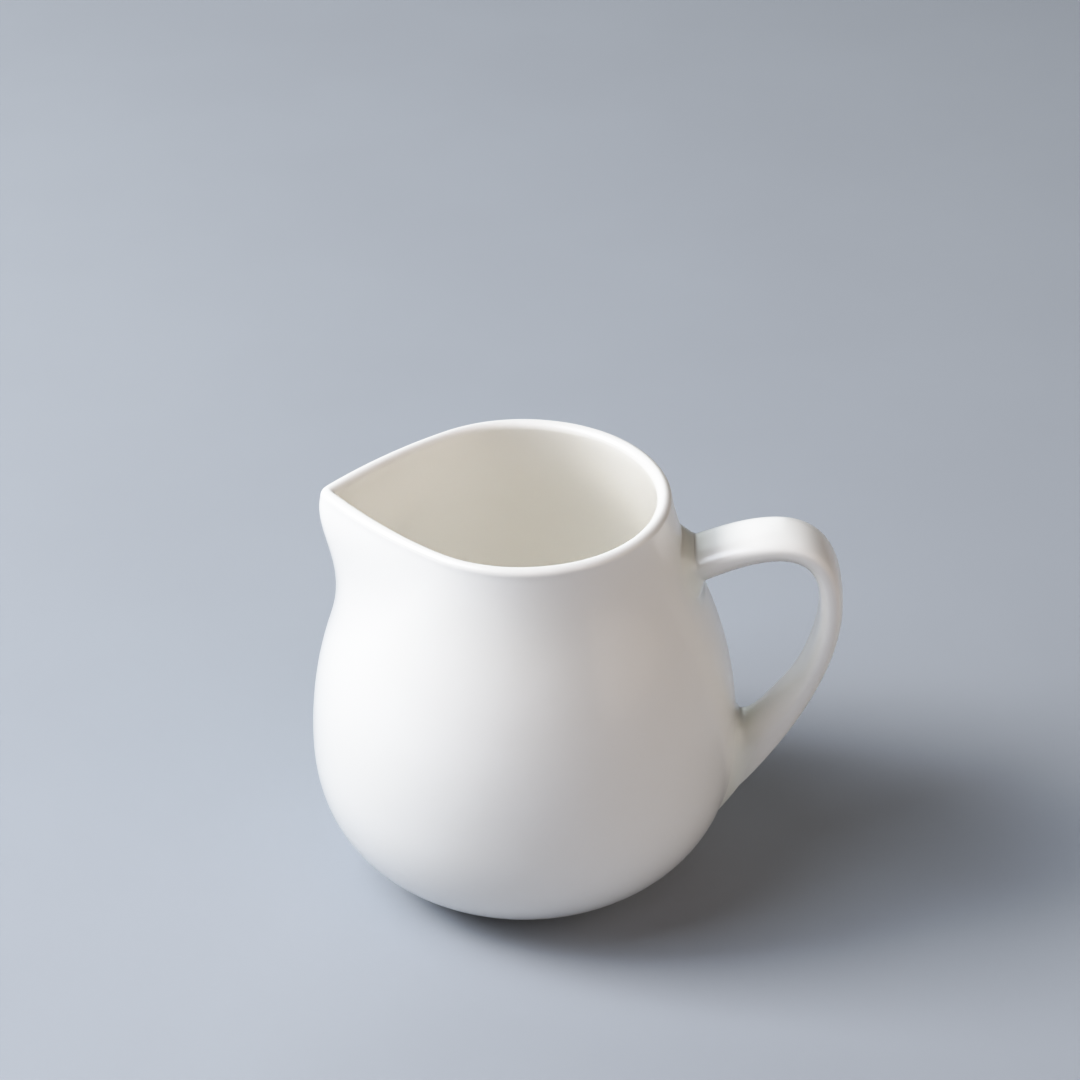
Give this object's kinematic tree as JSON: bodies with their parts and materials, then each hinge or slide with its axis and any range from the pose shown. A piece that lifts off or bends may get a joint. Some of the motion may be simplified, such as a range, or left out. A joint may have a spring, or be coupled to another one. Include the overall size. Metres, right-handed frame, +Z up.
{
  "type": "cream jug",
  "caption": "Small pot-bellied porcelain cream jug with a pulled pointed spout, a rolled lip, a strap handle and a standing foot ring, all in clear gloss glaze.",
  "frame": {"origin": "centre of the standing ring's lower face, on the axis of the round body", "axes": "+X towards the handle, so the spout is on -X; +Z up along the body's axis; Y across"},
  "size_m": [0.0864, 0.0698, 0.07],
  "materials": {
    "fired_clay": "fired white porcelain without glaze, smooth and matt",
    "fired_slip": "fired porcelain slip, smoothed by sponge",
    "clear_glaze": "clear gloss glaze over white porcelain"
  },
  "bodies": {
    "root": {"body": "fired_clay", "handle": "fired_clay", "upper_handle_joint": "fired_slip", "lower_handle_joint": "fired_slip", "outer_glaze": "clear_glaze", "inner_glaze": "clear_glaze", "handle_glaze": "clear_glaze", "underside_glaze": "clear_glaze"}
  },
  "joints": []
}
